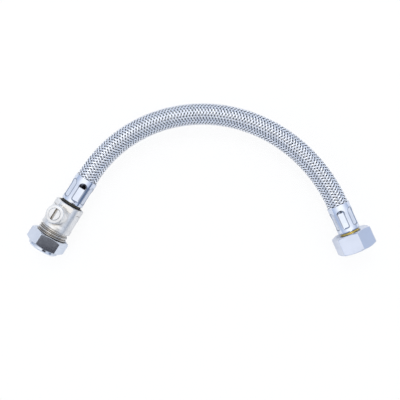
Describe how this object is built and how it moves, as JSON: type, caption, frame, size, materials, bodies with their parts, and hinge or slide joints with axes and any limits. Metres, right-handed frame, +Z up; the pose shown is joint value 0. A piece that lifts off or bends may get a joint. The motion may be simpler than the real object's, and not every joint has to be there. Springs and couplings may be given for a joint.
{
  "type": "braided supply line",
  "caption": "Flexible braided water supply line with a slotted quarter-turn isolating valve and compression inlet at one end and a swivel tap nut at the other.",
  "frame": {"origin": "centre of the shoulder inside the compression inlet that the 15 mm pipe stops against", "axes": "-Y out of the inlet along the valve, +X towards the side the hose bends to, +Z up off the surface the line lies on; the valve stem leans 15 degrees from +Z towards -X"},
  "size_m": [0.202, 0.1596, 0.0292],
  "materials": {
    "nickel_plated_brass": "satin",
    "chrome_plated_brass": "polished",
    "brass": "turned",
    "stainless_sheet": "polished",
    "stainless_braid": "woven",
    "liner_rubber": "matte",
    "seal_rubber": "matte",
    "ptfe": "matte"
  },
  "bodies": {
    "valve": {"valve_body": "nickel_plated_brass", "inlet_seat": "ptfe", "outlet_seat": "ptfe", "seat_retainer": "brass", "stem_washer": "ptfe", "valve_tail": "brass", "tail_o_ring": "seal_rubber", "valve_ferrule": "stainless_sheet", "liner_valve_end": "liner_rubber", "braid_valve_end": "stainless_braid"},
    "stem": {"stem": "brass", "stem_o_ring_low": "seal_rubber", "stem_o_ring_high": "seal_rubber", "ball": "chrome_plated_brass"},
    "olive": {"olive": "brass"},
    "compression_nut": {"compression_nut": "chrome_plated_brass"},
    "hose_link_01": {"liner_link_01": "liner_rubber", "braid_link_01": "stainless_braid"},
    "hose_link_02": {"liner_link_02": "liner_rubber", "braid_link_02": "stainless_braid"},
    "hose_link_03": {"liner_link_03": "liner_rubber", "braid_link_03": "stainless_braid"},
    "hose_link_04": {"liner_link_04": "liner_rubber", "braid_link_04": "stainless_braid"},
    "hose_link_05": {"liner_link_05": "liner_rubber", "braid_link_05": "stainless_braid"},
    "hose_link_06": {"liner_link_06": "liner_rubber", "braid_link_06": "stainless_braid"},
    "hose_link_07": {"liner_link_07": "liner_rubber", "braid_link_07": "stainless_braid"},
    "hose_link_08": {"liner_link_08": "liner_rubber", "braid_link_08": "stainless_braid"},
    "hose_link_09": {"liner_link_09": "liner_rubber", "braid_link_09": "stainless_braid"},
    "hose_link_10": {"liner_link_10": "liner_rubber", "braid_link_10": "stainless_braid"},
    "hose_link_11": {"liner_link_11": "liner_rubber", "braid_link_11": "stainless_braid"},
    "tap_end": {"liner_tap_end": "liner_rubber", "braid_tap_end": "stainless_braid", "tap_ferrule": "stainless_sheet", "tap_tail": "brass"},
    "tap_nut": {"tap_nut": "chrome_plated_brass", "tap_washer": "seal_rubber"}
  },
  "joints": [
    {"name": "stem_turn", "type": "hinge", "parent": "valve", "child": "stem", "pos_m": [0, 0.0107, 0], "axis": [-0.1994, 0, 0.9799], "continuous": true},
    {"name": "olive_slide", "type": "slide", "parent": "valve", "child": "olive", "axis": [0, -1, 0], "range_m": [0, 0.00907]},
    {"name": "compression_nut_turn", "type": "hinge", "parent": "olive", "child": "compression_nut", "pos_m": [0, -0.01, 0], "axis": [0, -1, 0], "range_deg": [0, 1800]},
    {"name": "hose_bend_01", "type": "hinge", "parent": "valve", "child": "hose_link_01", "pos_m": [0.00025, 0.04977, 0], "axis": [0, 0, -1], "range_deg": [-16, 9.5], "stiffness_Nm_per_rad": 3},
    {"name": "hose_sway_02", "type": "hinge", "parent": "hose_link_01", "child": "hose_link_02", "pos_m": [0.00303, 0.06727, 0], "axis": [0.9666, -0.2561, 0], "range_deg": [-12, 12], "stiffness_Nm_per_rad": 1.5},
    {"name": "hose_bend_03", "type": "hinge", "parent": "hose_link_02", "child": "hose_link_03", "pos_m": [0.00925, 0.08387, 0], "axis": [0, 0, -1], "range_deg": [-16, 9.5], "stiffness_Nm_per_rad": 3},
    {"name": "hose_bend_04", "type": "hinge", "parent": "hose_link_03", "child": "hose_link_04", "pos_m": [0.01859, 0.09893, 0], "axis": [0, 0, -1], "range_deg": [-16, 9.5], "stiffness_Nm_per_rad": 3},
    {"name": "hose_sway_05", "type": "hinge", "parent": "hose_link_04", "child": "hose_link_05", "pos_m": [0.03064, 0.11192, 0], "axis": [0.665, -0.7469, 0], "range_deg": [-12, 12], "stiffness_Nm_per_rad": 1.5},
    {"name": "hose_bend_06", "type": "hinge", "parent": "hose_link_05", "child": "hose_link_06", "pos_m": [0.04492, 0.12242, 0], "axis": [0, 0, -1], "range_deg": [-16, 9.5], "stiffness_Nm_per_rad": 3},
    {"name": "hose_bend_07", "type": "hinge", "parent": "hose_link_06", "child": "hose_link_07", "pos_m": [0.06089, 0.13011, 0], "axis": [0, 0, -1], "range_deg": [-16, 9.5], "stiffness_Nm_per_rad": 3},
    {"name": "hose_sway_08", "type": "hinge", "parent": "hose_link_07", "child": "hose_link_08", "pos_m": [0.07799, 0.1348, 0], "axis": [0.1771, -0.9842, 0], "range_deg": [-12, 12], "stiffness_Nm_per_rad": 1.5},
    {"name": "hose_bend_09", "type": "hinge", "parent": "hose_link_08", "child": "hose_link_09", "pos_m": [0.09564, 0.1364, 0], "axis": [0, 0, -1], "range_deg": [-16, 9.5], "stiffness_Nm_per_rad": 3},
    {"name": "hose_bend_10", "type": "hinge", "parent": "hose_link_09", "child": "hose_link_10", "pos_m": [0.11331, 0.13492, 0], "axis": [0, 0, -1], "range_deg": [-16, 9.5], "stiffness_Nm_per_rad": 3},
    {"name": "hose_sway_11", "type": "hinge", "parent": "hose_link_10", "child": "hose_link_11", "pos_m": [0.13047, 0.13049, 0], "axis": [-0.3303, -0.9439, 0], "range_deg": [-12, 12], "stiffness_Nm_per_rad": 1.5},
    {"name": "hose_bend_12", "type": "hinge", "parent": "hose_link_11", "child": "tap_end", "pos_m": [0.14667, 0.12328, 0], "axis": [0, 0, -1], "range_deg": [-16, 9.5], "stiffness_Nm_per_rad": 3},
    {"name": "tap_nut_swivel", "type": "hinge", "parent": "tap_end", "child": "tap_nut", "pos_m": [0.18229, 0.10034, 0], "axis": [0.836, -0.5487, 0], "continuous": true}
  ],
  "couplings": [
    {"joint": "olive_slide", "follows": "compression_nut_turn", "m_per_rad": 0.00028871},
    {"joint": "hose_bend_03", "follows": "hose_bend_01", "ratio": 1},
    {"joint": "hose_bend_04", "follows": "hose_bend_01", "ratio": 1},
    {"joint": "hose_sway_05", "follows": "hose_sway_02", "ratio": 1},
    {"joint": "hose_bend_06", "follows": "hose_bend_01", "ratio": 1},
    {"joint": "hose_bend_07", "follows": "hose_bend_01", "ratio": 1},
    {"joint": "hose_sway_08", "follows": "hose_sway_02", "ratio": 1},
    {"joint": "hose_bend_09", "follows": "hose_bend_01", "ratio": 1},
    {"joint": "hose_bend_10", "follows": "hose_bend_01", "ratio": 1},
    {"joint": "hose_sway_11", "follows": "hose_sway_02", "ratio": 1},
    {"joint": "hose_bend_12", "follows": "hose_bend_01", "ratio": 1}
  ]
}
